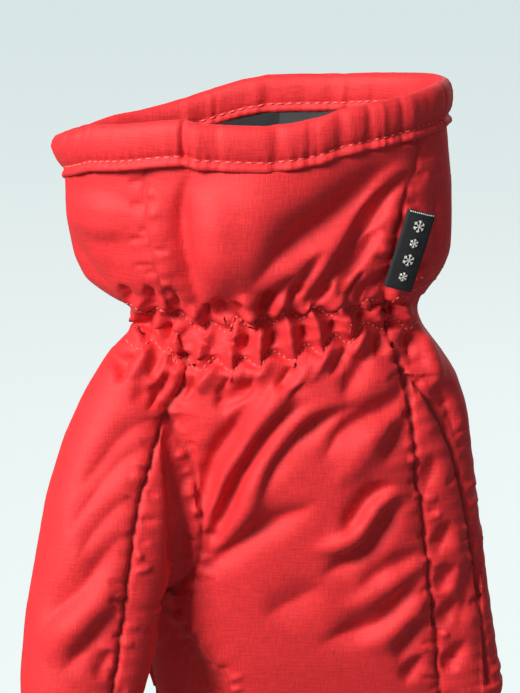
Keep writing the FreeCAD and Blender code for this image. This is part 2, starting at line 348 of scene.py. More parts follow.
# Folds seen from the palm side: (width, height, points as (x, z)); a height below zero is a valley.
BROAD_FOLDS = [
    # cuff
    (3.4, -2.9, [(-19.5, -15), (-22.5, -26), (-22, -38), (-20.5, -48), (-18.5, -58), (-16.5, -66)]),
    (6.5, 2.0, [(-12, -20), (-12.5, -36), (-12.5, -50), (-12, -62)]),
    (4.5, 1.4, [(-31, -20), (-32, -34), (-30, -48), (-27, -60)]),
    (7.5, -5.2, [(49, -12), (41, -18), (34, -25), (24.5, -32), (14.5, -38.5), (6.5, -45), (-1, -54)]),
    (7.0, 0.7, [(39, -34), (29, -40), (19, -45), (12, -52), (7, -62)]),
    (16.0, 3.2, [(1, -10), (1, -26), (-1, -44), (-3, -60)]),
    (9.0, -1.0, [(44, -26), (41, -34), (38, -44), (34, -58)]),
    (3.2, -4.0, [(54, -16), (43.5, -27), (35.5, -38), (28.7, -48), (22.5, -55), (15.5, -64)]),
    (3.0, -3.0, [(46, -34), (37, -43), (31, -51.5), (28.5, -60)]),
    (4.0, 0.8, [(50, -30), (42, -40), (36, -50), (33, -60)]),
    (2.6, -2.6, [(24, -42), (18, -50), (11.6, -59)]),
    (2.4, -2.2, [(15, -48.5), (7, -57), (2.3, -64)]),
    (2.6, -2.8, [(-11.5, -57), (-10, -63), (-8, -70)]),
    (3.0, 2.2, [(-3, -55), (-1.5, -61), (-1, -68)]),
    (2.4, -2.4, [(43, -52), (38, -58), (34.5, -64)]),
    (5.0, -1.6, [(-62, -40), (-54, -52), (-44, -62)]),
    (4.0, -1.6, [(60, -20), (61, -36), (60, -50)]),
    (9.0, 1.8, [(-50, -24), (-50, -42)]),
    # palm
    (3.6, -3.6, [(-1, -93), (-6.5, -104), (-12.5, -114), (-15.5, -125), (-17, -137)]),
    (2.8, 2.8, [(24, -78.5), (18, -85), (8, -93.5), (2.3, -102.5), (-3.7, -112), (-8.5, -120),
                (-12, -129), (-17, -144)]),
    (3.6, -4.2, [(18.5, -94), (9.5, -98.5), (4.5, -104), (-0.7, -113), (-5.5, -121.5), (-9, -132),
                 (-13, -142), (-16.5, -149)]),
    (4.0, 2.6, [(29, -94), (18.5, -98.5), (11.5, -107), (2.5, -119), (-2.5, -131), (-8, -143), (-16, -151)]),
    (3.6, -3.8, [(34.5, -95.5), (24.5, -99.5), (16, -105), (9.3, -113), (5, -121), (2.6, -129)]),
    (4.2, -2.8, [(53, -86), (48, -94.5), (37, -100), (29, -105), (23.7, -114)]),
    (4.0, -2.4, [(53, -101), (48, -108.5), (44, -116)]),
    (4.5, 1.4, [(50, -100), (42, -106), (35, -114), (27, -124)]),
    (4.4, -2.8, [(22, -128), (16, -132), (5, -137.5), (-4, -144), (-12.8, -152), (-19.5, -158.5)]),
    (6.0, -1.8, [(25, -158), (14, -165.5), (2.8, -172)]),
    (3.4, -3.4, [(49, -124), (44, -125), (39, -128), (36, -132.5), (32.5, -138), (27.5, -141)]),
    (3.6, 2.6, [(50.3, -127.5), (45, -128.5), (41, -131), (38, -136.5), (34.5, -141), (27.5, -144.5),
                (20, -146.5)]),
    (4.2, -3.2, [(55, -129), (47.5, -133.5), (42, -141), (37.5, -147.5), (30, -152), (22.5, -156.5)]),
    (4.2, -2.4, [(58.5, -148), (52, -151.5), (42.5, -156), (35, -162)]),
    (4.2, 1.4, [(57, -154), (48, -158), (40, -164), (30, -168)]),
    (5.0, -3.0, [(60, -156.5), (55, -162), (47.3, -170), (41.5, -175), (32.5, -177.5), (22.5, -182)]),
    (5.0, 1.9, [(60.8, -162), (56.3, -168), (50.3, -174.5), (42.5, -179.5), (35, -183)]),
    (3.6, -2.8, [(61.8, -171), (57.3, -175.5), (52.3, -182.5), (50, -190)]),
    (3.2, -2.2, [(59.3, -187), (55, -192), (52, -198)]),
    (3.0, -2.4, [(16, -79), (12, -85), (8, -92)]),
    (3.6, -2.2, [(40, -76), (36.5, -82), (29, -93)]),
    (2.6, -2.4, [(-5, -83), (-9, -90), (-12, -98)]),
    (2.4, -1.8, [(3, -85), (-6, -91.5), (-11, -100)]),
    # side strip
    (2.6, 1.8, [(57, -72), (60, -82), (64.5, -93)]),
    (3.2, -2.4, [(61, -90), (66, -101), (69, -112)]),
    (3.0, -2.2, [(62.3, -151), (65.3, -144.5), (67, -139)]),
    (3.0, -2.2, [(62.8, -164.5), (66.3, -159), (70.2, -155)]),
    (3.0, -2.2, [(63.8, -177.5), (67.2, -172.2), (71, -168)]),
    (3.0, -2.2, [(65.3, -194.3), (70.2, -188), (73.5, -183)]),
    (3.0, -1.8, [(57.5, -128), (60, -122), (61.5, -115)]),
    (4.0, -1.8, [(75.7, -152), (73.5, -168), (70.5, -180)]),
    # thumb
    (5.0, -1.8, [(-31, -99.5), (-43, -105), (-54, -118), (-60, -123)]),
    (5.0, -1.8, [(-32, -107), (-43, -113), (-52, -123), (-62, -137)]),
    (5.0, -1.8, [(-39, -124), (-45, -128), (-52.5, -136), (-58, -145)]),
    (5.0, -2.4, [(-40.5, -136), (-46.5, -141), (-56, -154), (-66, -163), (-70.5, -172)]),
    (6.0, 1.8, [(-42, -148), (-50.5, -158), (-62, -170), (-70, -180)]),
    (4.4, -2.4, [(-44.5, -160), (-51, -170), (-58, -177.5), (-64, -183)]),
    (4.0, -1.8, [(-46.5, -176), (-52, -186)]),
    (2.4, -2.2, [(-52, -80), (-45, -82.5), (-38, -82)]),
    (3.2, -1.4, [(-40.5, -94.5), (-32, -89.5), (-27.5, -87.5)]),
]
# The deep crease where the thumb's gusset folds in against the palm.
THUMB_CREASE = [
    (2.6, -5.0, [(-27, -100), (-26, -112), (-24.6, -122), (-24.2, -134), (-24.2, -146), (-25, -156),
                 (-28, -165)]),
    (3.0, 1.6, [(-20, -118), (-19.4, -130), (-19.6, -142), (-22, -152)]),
]
# The two shirred rows as they zigzag over the front, and over the back.
UPPER_ROW = [(-46, -66), (-39, -64), (-35, -67.5), (-31, -64), (-27, -67.5), (-24, -65.5),
             (-17.3, -71.5), (-13.7, -68), (-8.3, -71.4), (-5.3, -65.5), (-1, -69.7), (3.3, -65.5),
             (7.3, -68.3), (11.3, -62.6), (16.3, -66.8), (20.3, -61.6), (26, -66), (30, -61.5),
             (34.5, -64.8), (38, -60.5), (44.7, -62.8), (49, -60), (53, -62.5)]
LOWER_ROW = [(-44, -76), (-37.7, -78.5), (-33.5, -76), (-29.3, -79.5), (-27, -77.6), (-25.7, -83),
             (-22.7, -80.3), (-18, -84.8), (-12.7, -80), (-7, -84.1), (-3.3, -79), (2.3, -82),
             (6, -76.9), (13.7, -80.3), (17.7, -74.8), (22.7, -77.9), (27, -72), (32, -75.4),
             (37.3, -69), (43, -72.4), (47, -69), (52, -73.5), (57, -71)]


def zigzag_back(level, drop, step):
    """Shirred row over the back, which climbs a little towards the outer side."""
    xs = np.arange(-46, 58, step / 2)
    return [(x, level + 0.055 * x + (drop if k % 2 else -drop)) for k, x in enumerate(xs)]


BACK_UPPER = zigzag_back(-68, 1.8, 8.6)
BACK_LOWER = zigzag_back(-80.5, 2.0, 9.4)


def turning_points(row, way):
    """Points of a zigzag that stand above (way 1) or below (way -1) both neighbours."""
    return [p for a, p, b in zip(row, row[1:], row[2:]) if way * p[1] > max(way * a[1], way * b[1])]


def ruffles(upper, lower, lean_up, lean_down):
    """Pleats of the shirred band: between the rows, up into the cuff and down into the hand."""
    out = []
    peaks, dips = turning_points(upper, 1), turning_points(upper, -1)
    low_peaks, low_dips = turning_points(lower, 1), turning_points(lower, -1)
    for places, targets, width, height, top, foot in (
            (peaks, low_dips, 1.9, 2.3, -0.8, 0.8), (dips, low_peaks, 1.6, -2.2, -1.5, 1.2)):
        for x, z in places:
            to = min(targets, key=lambda q: abs(q[0] - x - 1))
            middle = ((x + to[0]) / 2, (z + to[1]) / 2)
            out.append((width, height, [(x, z + top), middle, (to[0], to[1] + foot)]))
    for places, width, height, top, shortest, spread, lean_at, bend, way in (
            (dips, 2.2, 1.7, 0.5, 7, 6, lean_up, 0.45, 1),
            (peaks, 1.8, -1.9, 0.0, 6, 7, lean_up, 0.45, 1),
            (low_peaks, 2.3, 1.8, 0.0, 10, 9, lean_down, 0.4, -1),
            (low_dips, 1.9, -1.9, 0.0, 8, 8, lean_down, 0.4, -1)):
        for x, z in places:
            reach = shortest + spread * rng.random()
            lean = lean_at(x)
            middle = (x + bend * lean * reach, z + way * 0.5 * reach)
            out.append((width, height, [(x, z + top), middle, (x + lean * reach, z + way * reach)]))
    return out


FRONT_RUFFLES = ruffles(UPPER_ROW, LOWER_ROW,
                        lambda x: np.interp(x, [-40, -10, 15, 45], [-0.6, -0.1, 0.6, 0.8]),
                        lambda x: np.interp(x, [-40, -20, 0, 30, 55], [-0.9, -0.5, -0.7, -0.75, 0.2]))
BACK_RUFFLES = ruffles(BACK_UPPER, BACK_LOWER, lambda x: 0.012 * x, lambda x: -0.01 * x)


def back_folds():
    """Soft folds of the back of the glove, scattered but leaning outwards from the wrist."""
    out = []
    for k in range(16):
        x = -44 + 7.2 * k + 3 * rng.random()
        z = -16 - 14 * rng.random()
        line = [(x * 1.12, z), (x * 1.02, z - 18), (x * 0.86 + 2, z - 34)]
        out.append((4.5, (-2.2 if k % 2 else 1.5), line))
    for k in range(17):
        x = -28 + 5.6 * k + 2 * rng.random()
        reach = 26 + 26 * rng.random()
        sway = 7 * (rng.random() - 0.5)
        line = [(x, -88), (x * 1.05 + sway, -88 - reach / 2), (x * 1.16 + 2 * sway, -88 - reach)]
        out.append((4.4, (-2.3 if k % 2 else 1.6), line))
    for k in range(9):
        x, z = -18 + 78 * rng.random(), -135 - 55 * rng.random()
        out.append((6.0, -2.0, [(x, z), (x + 12, z + 5), (x + 24, z + 4)]))
    return out


BACK_FOLDS = back_folds()


def puckers(seams):
    """Short creases that run off either side of a seam."""
    out = []
    for seam in seams:
        pts = spline_points(seam, 1.0)
        at = 2 + 3 * rng.random()
        while at < len(pts) - 2:
            k = int(at)
            along_it = pts[k + 1] - pts[k - 1]
            across = np.array([-along_it[1], along_it[0]]) / np.linalg.norm(along_it)
            side = 1 if rng.random() < 0.5 else -1
            reach = side * (3 + 5 * rng.random())
            lean = 0.8 * (rng.random() - 0.5) * reach
            tip = pts[k] + across * reach + along_it / np.linalg.norm(along_it) * lean
            size = (0.5 + 0.7 * rng.random()) * (1 if rng.random() < 0.35 else -1)
            out.append((0.9 + 0.6 * rng.random(), size, [pts[k], (pts[k] + tip) / 2, tip]))
            at += 2.2 + 3.2 * rng.random()
    return out


def raise_folds(net, folds, facing, gain, mask):
    """Moves points out and in by the folds' ridges and valleys, on the side that faces the given way."""
    n = net.normals()
    weight = smoothstep(facing * -n[:, 1], -0.1, 0.45) * mask
    px, pz = net.co[:, 0], net.co[:, 2]
    total = np.zeros(len(px))
    for width, height, points in folds:
        pts = spline_points(points, 2.5)
        lo, hi = pts.min(0) - 3.2 * width, pts.max(0) + 3.2 * width
        pick = np.where((px > lo[0]) & (px < hi[0]) & (pz > lo[1]) & (pz < hi[1]) & (weight > 0))[0]
        if not len(pick):
            continue
        d, share, _ = line_distance(px[pick], pz[pick], pts)
        ends = smoothstep(share, -0.05, 0.36) * smoothstep(-share, -1.05, -0.64)
        wide = width * (0.5 + 0.6 * ends)
        shape = np.exp(-(d / wide) ** 2)
        if height < 0:
            shape = 0.55 * shape + 0.45 * np.exp(-d / (0.42 * wide))
        total[pick] += height * shape * ends
    net.co += n * (gain * weight * total)[:, None]


def press_seams(net, seams, facing, broad, reach, fine, painted_seam_shade, mask):
    """Pulls the cloth in along seams; returns the painted shade along each seam's groove, strongest on the
    seam line.
    """
    n = net.normals()
    weight = smoothstep(facing * -n[:, 1], -0.35, 0.1) * mask
    px, pz = net.co[:, 0], net.co[:, 2]
    # painted shade: how much each point is darkened along a seam's groove
    tint = np.zeros(len(px))
    move = np.zeros(len(px))
    for seam in seams:
        pts = spline_points(seam, 2.0)
        length = np.linalg.norm(np.diff(pts, axis=0), axis=1).sum()
        pick = np.where((px > pts[:, 0].min() - 14) & (px < pts[:, 0].max() + 14)
                        & (pz > pts[:, 1].min() - 1) & (pz < pts[:, 1].max() + 1) & (weight > 0))[0]
        d, share, side = line_distance(px[pick], pz[pick], pts)
        at = share * length
        pucker = 0.28 * np.sin(at * 2 * math.pi / 6.3 + side * 0.8 + 1.7 * np.sin(at / 9))
        pucker *= np.exp(-d / 4.5) * smoothstep(d, 0, 1.2)
        pull = -broad * np.exp(-d / reach) - fine * np.exp(-(d / 0.9) ** 2)
        deeper = pull < move[pick]
        move[pick] = np.where(deeper, pull, move[pick]) + pucker
        # painted shade: a thin dark line in the seam's groove, where shade falls
        tint[pick] = np.maximum(tint[pick], painted_seam_shade * np.exp(-(d / 0.4) ** 2) * weight[pick])
    net.co += n * (weight * move)[:, None]
    return tint


RIM_SLOPE = 0.14


def rim_height(x, y):
    """Height of the mouth's edge: it slopes up towards the outer side and is not quite flat."""
    near = np.interp(x, [-66, -63, -53, -43, -28, -22, -17, -11, -3, 5, 13.5, 22, 30, 48, 58, 66],
                     [0.4, 2.0, 4.6, 4.6, 5.1, 4.9, 2.9, 1.9, 0.5, -1.0, -1.4, -1.1, 0.2, 0.8, 1.1, 0.8])
    far = np.interp(x, [-66, -56, -47, -39, -30, -21, -12, -3.5, 5, 14, 23, 32, 41, 50, 66],
                    [-0.8, -1.4, -0.3, -0.4, 0.3, 1.5, 2.8, 3.9, 4.1, 3.3, 2.4, 1.9, 1.7, 1.3, 0.6])
    front = smoothstep(-y, -6, 6)
    return RIM_SLOPE * x + near * front + far * (1 - front)


def finger_lines(share):
    """Seams down each finger, this share of its half width either side of its middle."""
    out = []
    for d in FINGERS.values():
        for side in (-share, share):
            spots = [(3, 1.0), (0.35 * d["tip"], 1.0), (0.7 * d["tip"], 0.93), (0.9 * d["tip"], 0.8)]
            out.append([(along(d, s)[1][0] + side * d["a"] * w, along(d, s)[1][2]) for s, w in spots])
    return out


def finger_creases():
    """Soft cross folds where the fingers bend."""
    out = []
    for d in FINGERS.values():
        for s in (6, 11, 17, 27, 36, 45):
            x, _, z = along(d, s)[1]
            half = (0.5 + 0.35 * rng.random()) * d["a"]
            sway = 2.4 * (rng.random() - 0.5)
            line = [(x - half, z - sway), (x + sway, z), (x + half, z + sway)]
            out.append((2.2 + rng.random(), -0.5 - 0.5 * rng.random(), line))
            out.append((2.8, 0.4, [(x - half, z - 4 - sway), (x, z - 4), (x + half, z - 4 + sway)]))
    return out


FINGER_SEAMS = finger_lines(0.74)
THUMB_BACK_SEAM = [(-44, -96), (-56, -130), (-64, -165), (-68, -195), (-69, -216)]

# ---------- base form
digits = {"thumb": THUMB, **FINGERS}
parts = [trunk_tube(), *[digit_tube(d) for d in digits.values()]]
net = Net(*modified(*joined(parts), "REMESH", mode="VOXEL", voxel_size=VOXEL))
crotch_line = [(-27, -104), (-24, -118), (-24, -150), (-27, -170)]
crotch = np.exp(-(line_distance(net.co[:, 0], net.co[:, 2], crotch_line)[0] / 5.0) ** 2)
crotch *= smoothstep(-net.co[:, 1], 0, 10)
net.smooth(5, 0.5, 1 - 0.85 * crotch)


def below_rim(co):
    """How far points lie below the mouth's edge."""
    return rim_height(co[:, 0], co[:, 1]) - co[:, 2]


# 0 at the mouth and 1 well below it, so that folds leave the hem alone.
cloth_mask = smoothstep(below_rim(net.co), 9, 17)
raise_folds(net, THUMB_CREASE, 1.0, 1.0, cloth_mask)


def recess_index_wall(net):
    """Sets the hand's side wall back, behind the edge where the palm meets the thumb's gap."""
    edge = spline_points([(-25, -160), *PALM_INDEX_SEAM[1:], (-4, -222)], 2.0)
    d, _, side = line_distance(net.co[:, 0], net.co[:, 2], edge)
    local = in_frame(THUMB, net.co)
    clear = smoothstep(np.hypot(local[:, 0] / 24, local[:, 1] / 21), 1.02, 1.2)
    inside = np.where(side < 0, smoothstep(d, 0.3, 5.0), 0.0) * smoothstep(-net.co[:, 1], -8, 4)
    low = smoothstep(-net.co[:, 2], 166, 180)
    move = INDEX_RECESS * inside * clear * low * smoothstep(-net.co[:, 0], -8, 10)
    net.co[:, 1] += move
    net.smooth(3, 0.5, smoothstep(move, 0.2, 3.0))


recess_index_wall(net)
raise_folds(net, BROAD_FOLDS, 1.0, 0.7, cloth_mask)
raise_folds(net, BACK_FOLDS, -1.0, 0.8, cloth_mask)


# Each face is split in four, for the fine seams and pleats.
net = Net(*modified(net.co, net.faces, "SUBSURF", levels=1, render_levels=1))
cloth_mask = smoothstep(below_rim(net.co), 9, 15)
# painted shade along the seams, which the red nylon is darkened toward
seam_painted_shade = np.zeros(len(net.co))
# Each seam: the side it is on, how deep and wide the cloth dips, the fine groove, and how much shade is
# painted along it.
for seams, facing, broad, reach, fine, painted_seam_shade in (
        ([CUFF_THUMB_SEAM, CUFF_OUTER_SEAM], 1.0, 1.0, 4.0, 0.5, 0.25),
        ([THUMB_SEAM], 1.0, 2.4, 6.0, 1.0, 0.7),
        ([GUSSET_SEAM], 1.0, 1.6, 4.0, 0.7, 0.35),
        ([PALM_INDEX_SEAM], 1.0, 1.6, 4.0, 0.7, 0.3),
        ([PALM_OUTER_SEAM], 1.0, 3.2, 8.0, 1.0, 0.75),
        ([BRANCH_SEAM], 1.0, 1.8, 4.0, 0.9, 0.7),
        (FINGER_SEAMS, 1.0, 1.2, 3.0, 0.7, 0.6),
        (FINGER_SEAMS + [THUMB_BACK_SEAM], -1.0, 1.2, 3.0, 0.7, 0.6),
        (BACK_SEAMS, -1.0, 2.2, 7.0, 0.8, 0.5)):
    seam_painted_shade = np.maximum(seam_painted_shade, press_seams(net, seams, facing, broad, reach, fine, painted_seam_shade, cloth_mask))
rows_front = [(1.3, -2.6, UPPER_ROW), (1.3, -2.6, LOWER_ROW)]
rows_back = [(1.3, -2.6, BACK_UPPER), (1.3, -2.6, BACK_LOWER)]
raise_folds(net, BROAD_FOLDS, 1.0, 0.78, cloth_mask)
raise_folds(net, BACK_FOLDS, -1.0, 0.7, cloth_mask)
raise_folds(net, FRONT_RUFFLES, 1.0, 1.6, cloth_mask)
raise_folds(net, BACK_RUFFLES, -1.0, 1.35, cloth_mask)
raise_folds(net, rows_front + puckers(FRONT_SEAMS + [BRANCH_SEAM]), 1.0, 1.0, cloth_mask)
raise_folds(net, rows_back + puckers(BACK_SEAMS + [THUMB_BACK_SEAM]), -1.0, 1.0, cloth_mask)
for facing in (1.0, -1.0):
    raise_folds(net, puckers(FINGER_SEAMS), facing, 0.35, cloth_mask)
    raise_folds(net, finger_creases(), facing, 1.0, cloth_mask)
net.smooth(1, 0.2)

# The label is sewn in along the line from its top to its foot, and reaches across from there.
LABEL_TOP = np.array([50.7, -24.4, -29.0])
LABEL_FOOT = np.array([43.4, -24.0, -55.0])
LABEL_ACROSS = np.array([8.7, 4.0, -2.9])
down = LABEL_FOOT - LABEL_TOP
# The cloth lies back a little behind the label, so that the label can swing.
share = np.clip((net.co - LABEL_TOP) @ down / (down @ down), 0, 1)
away = np.linalg.norm(net.co - LABEL_TOP - share[:, None] * down, axis=1)
net.co += smoothstep(-away, -14, -6)[:, None] * np.array([-0.9, 1.5, 0.0])

# ---------- materials


def new_material(name):
    mat = bpy.data.materials.new(name)
    mat.use_nodes = True
    return mat, mat.node_tree.nodes, mat.node_tree.links


def node(nodes, kind, **values):
    n = nodes.new(kind)
    for key, value in values.items():
        if key.startswith("in_"):
            n.inputs[key[3:].replace("_", " ")].default_value = value
        else:
            setattr(n, key, value)
    return n


def set_shader(shader, **values):
    for key, value in values.items():
        shader.inputs[key.replace("_", " ")].default_value = value


def mixed(nodes, links, factor, first, second):
    """Colour that runs from first to second; first may be a colour or another node's output."""
    mix = node(nodes, "ShaderNodeMix", data_type="RGBA")
    if isinstance(first, tuple):
        mix.inputs[6].default_value = (*first, 1)
    else:
        links.new(first, mix.inputs[6])
    mix.inputs[7].default_value = (*second, 1)
    links.new(factor, mix.inputs[0])
    return mix.outputs[2]


def roughen(nodes, links, shader, height, strength, distance):
    bump = node(nodes, "ShaderNodeBump", in_Strength=strength, in_Distance=distance)
    links.new(height, bump.inputs["Height"])
    links.new(bump.outputs["Normal"], shader.inputs["Normal"])


def scaled(colour, gain, lift=0.0):
    return tuple(min(1.0, c * gain + lift) for c in colour)


def nylon(name, base):
    """Woven ripstop: fine uneven threads both ways, with painted shade along the seams."""
    mat, nodes, links = new_material(name)
    shader = nodes["Principled BSDF"]
    weave = node(nodes, "ShaderNodeAttribute", attribute_name="weave")
    # the seam attribute holds painted shade along the seam grooves
    seam = node(nodes, "ShaderNodeAttribute", attribute_name="seam")
    add = node(nodes, "ShaderNodeMath", operation="ADD")
    for k, scale in enumerate(((0.16, 1.7, 1.0), (1.7, 0.22, 1.0))):
        stretch = node(nodes, "ShaderNodeMapping", in_Scale=scale)
        links.new(weave.outputs["Vector"], stretch.inputs["Vector"])
        threads = node(nodes, "ShaderNodeTexNoise", in_Scale=1.0, in_Detail=3.0, in_Roughness=0.6)
        links.new(stretch.outputs["Vector"], threads.inputs["Vector"])
        links.new(threads.outputs[0], add.inputs[k])
    ramp = node(nodes, "ShaderNodeMapRange", in_From_Min=0.7, in_From_Max=1.35)
    links.new(add.outputs[0], ramp.inputs["Value"])
    woven = mixed(nodes, links, ramp.outputs["Result"], scaled(base, 0.80), scaled(base, 1.2, 0.006))
    # painted shade: the colour the nylon is darkened toward along the seams
    seam_shade_colour = (base[0] * 0.10, base[1] * 0.10, base[2] * 0.12)
    links.new(mixed(nodes, links, seam.outputs["Fac"], woven, seam_shade_colour), shader.inputs["Base Color"])
    roughen(nodes, links, shader, add.outputs[0], 0.35, 0.0004)
    set_shader(shader, Roughness=0.70, Specular_IOR_Level=0.5, Sheen_Weight=0.06, Sheen_Roughness=0.4,
               Sheen_Tint=(1.0, 0.55, 0.5, 1))
    return mat


def cloth_material(name, base, rough, scale, strength, sheen=0.0):
    """Plain thread, fleece or woven tape with fine uneven fibres."""
    mat, nodes, links = new_material(name)
    shader = nodes["Principled BSDF"]
    where = node(nodes, "ShaderNodeTexCoord")
    fibres = node(nodes, "ShaderNodeTexNoise", in_Scale=scale, in_Detail=4.0, in_Roughness=0.65)
    links.new(where.outputs["Object"], fibres.inputs["Vector"])
    colour = mixed(nodes, links, fibres.outputs[0], scaled(base, 0.7), scaled(base, 1.3))
    links.new(colour, shader.inputs["Base Color"])
    roughen(nodes, links, shader, fibres.outputs[0], strength, 0.0006)
    set_shader(shader, Roughness=rough, Sheen_Weight=sheen)
    return mat


red = nylon("red_ripstop_nylon", (0.65, 0.012, 0.018))
thread = cloth_material("pink_thread", (0.76, 0.12, 0.11), 0.55, 2500, 0.3)
fleece = cloth_material("black_fleece", (0.010, 0.010, 0.012), 0.95, 900, 0.9, 0.03)
panel_grey = cloth_material("grey_lining_panel", (0.020, 0.021, 0.023), 0.75, 1600, 0.3)
label_black = cloth_material("woven_label", (0.012, 0.013, 0.016), 0.8, 2600, 0.6)
label_white = cloth_material("label_thread", (0.72, 0.72, 0.70), 0.7, 2600, 0.4)

# ---------- cutting the shell into its pieces
keep = below_rim(net.co) > BAND_DEPTH
normals = net.normals()
local = in_frame(THUMB, net.co)
in_thumb = (-local[:, 2] > THUMB["soft"][0]) & (np.hypot(local[:, 0], local[:, 1]) < 31)
in_thumb &= net.co[:, 0] < -20
roots = np.array([d["root"][0] for d in FINGERS.values()])


def weave_coordinates(co, normals):
    """Unrolled position of each point, in millimetres, that the weave runs along."""
    side = np.abs(normals[:, 0])
    u = co[:, 0] + 0.9 * co[:, 1] * np.sign(normals[:, 0]) * smoothstep(side, 0.55, 0.9)
    return np.stack([u, co[:, 2], np.zeros_like(u)], 1)


def piece(name, co, faces, material, normals=None, tint=None):
    """Mesh object in metres with the weave attribute, and the seam attribute of painted shade, that its
    material reads.
    """
    used = np.unique(np.concatenate([np.array(f) for f in faces]))
    index = np.full(len(co), -1)
    index[used] = np.arange(len(used))
    ob = make_object(name, co[used] * MM, [tuple(index[list(f)]) for f in faces])
    me = ob.data
    me.polygons.foreach_set("use_smooth", [True] * len(me.polygons))
    me.materials.append(material)
    if normals is not None:
        w = me.attributes.new("weave", "FLOAT_VECTOR", "POINT")
        w.data.foreach_set("vector", weave_coordinates(co[used], normals[used]).astype(np.float32).ravel())
        # the seam attribute carries the painted shade along the seams
        s = me.attributes.new("seam", "FLOAT", "POINT")
        values = np.zeros(len(used)) if tint is None else tint[used]
        s.data.foreach_set("value", values.astype(np.float32))
        me.normals_split_custom_set_from_vertices([tuple(v) for v in normals[used]])
    return ob


face_array = np.array([f if len(f) == 4 else (*f, f[0]) for f in net.faces])
face_keep = keep[face_array].all(1)
face_thumb = in_thumb[face_array].any(1)
middle = net.co[face_array].mean(1)
nearest = np.argmin(np.abs(middle[:, :1] - roots), axis=1)
face_finger = (middle[:, 2] < KNUCKLES) & ~face_thumb
groups = {"shell_main": face_keep & ~face_thumb & ~face_finger, "shell_thumb": face_keep & face_thumb}
for k, name in enumerate(FINGERS):
    groups["shell_" + name] = face_keep & face_finger & (nearest == k)
shells = {}
for name, pick in groups.items():
    chosen = [net.faces[i] for i in np.where(pick)[0]]
    shells[name] = piece(name, net.co, chosen, red, normals, seam_painted_shade)

nodes_left = list(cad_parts)


def stands_for(ob, *prefixes):
    mine = [n for n in nodes_left if n.startswith(prefixes)]
    for n in mine:
        nodes_left.remove(n)
    if mine:
        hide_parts(*mine)


for name, d in digits.items():
    ob = shells["shell_" + name]
    stands_for(ob, *[name + kind for kind in ("_front", "_side", "_back", "_ins", "_lin", "_soft")])
    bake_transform(ob)
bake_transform(shells["shell_main"])

# ---------- hem band round the mouth
# Section of the band (out from the rim, up from its edge), from its lower welt over the fold to the facing.
PROFILE = [(0.2, -15.2), (1.5, -15.0), (2.0, -14.2), (1.8, -13.2), (1.1, -12.4), (0.45, -11.8),
           (1.2, -10.9), (1.9, -9.2), (2.2, -6.8), (2.1, -4.2), (1.5, -2.0), (0.4, -0.4), (-1.2, 0.1),
           (-2.8, -0.5), (-3.9, -1.9), (-4.4, -4.0), (-4.4, -6.9), (-4.1, -8.7), (-3.7, -9.5),
           (-4.3, -10.3), (-4.7, -11.2), (-4.3, -12.2), (-3.0, -12.8), (-1.2, -14.7)]
OUTER_GROOVE, INNER_GROOVE = 5, 18  # places in PROFILE where the two rows of stitches lie
STITCHES = 118  # in one row round the mouth
CREASE_AT = 4.37  # angle of the sharp crease on the palm side
INNER_PUFF = 0.4  # the facing puffs less than the outside


def rim_point(t):
    """Point of the mouth's edge at an angle."""
    x, y = -0.4 + 64.3 * math.cos(t), 33.8 * math.sin(t)
    return np.array([x, y, rim_height(x, y)])


def rim_frame(t):
    """Point of the mouth's edge and the direction out of it."""
    p = rim_point(t)
    d = rim_point(t + 0.02) - rim_point(t - 0.02)
    d[2] = 0
    d /= np.linalg.norm(d)
    return p, np.array([d[1], -d[0], 0.0])


HEM_COUNT = 520
ts = np.linspace(0, 2 * math.pi, HEM_COUNT, endpoint=False)
bumps = [(rng.random() * 2 * math.pi, 0.010 + 0.035 * rng.random(), 1.1 * rng.random() - 0.6)
         for _ in range(90)]


def hem_offset(t, height):
    """How far the band's cloth puffs out or creases at a place round the rim."""
    total = 0.0
    for centre, width, size in bumps:
        dt = (t - centre + math.pi) % (2 * math.pi) - math.pi
        if abs(dt) < 4 * width:
            total += size * math.exp(-(dt / width) ** 2)
    near_stitch = math.exp(-((height - PROFILE[OUTER_GROOVE][1]) / 2.2) ** 2)
    gather = math.sin(t * STITCHES + 1.3 * math.sin(t * 7)) * (0.6 + 0.4 * math.sin(t * 13))
    total += 0.32 * near_stitch * gather
    total -= 3.4 * max(0.0, -math.cos(t)) ** 8 * min(1.0, max(0.0, (-height - 4.0) / 9.0))
    crease = (t - CREASE_AT + math.pi) % (2 * math.pi) - math.pi
    total += -1.5 * math.exp(-(crease / 0.011) ** 2) * (1 if height > -12.5 else 0.2)
    return total


hem_co = []
for t in ts:
    p, out = rim_frame(t)
    for k, (off, up) in enumerate(PROFILE):
        # the whole outside and the inner row of stitches puff fully, the facing less
        o = off + hem_offset(t, up) * (1 if k < 13 or 15 < k < 20 else INNER_PUFF)
        wave = 0.5 * math.sin(t * 5 + 1) * (1 if up > -4 else 0.4)
        hem_co.append(p + out * o + np.array([0, 0, up + wave * 0.6]))
hem_net = Net(hem_co, ring_faces(HEM_COUNT, len(PROFILE), closed=True))
hem = piece("hem_band_cloth", hem_net.co, hem_net.faces, red, hem_net.normals())
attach(hem, "cuff")
stands_for(hem, "hem_")

# ---------- stitches
# A stitch: share of its length, share of its radius, lift; it dives into the cloth at both ends.
STITCH_SHAPE = ((0.0, 0.35, -0.22), (0.14, 0.85, 0.0), (0.5, 1.0, 0.12), (0.86, 0.85, 0.0),
                (1.0, 0.35, -0.22))


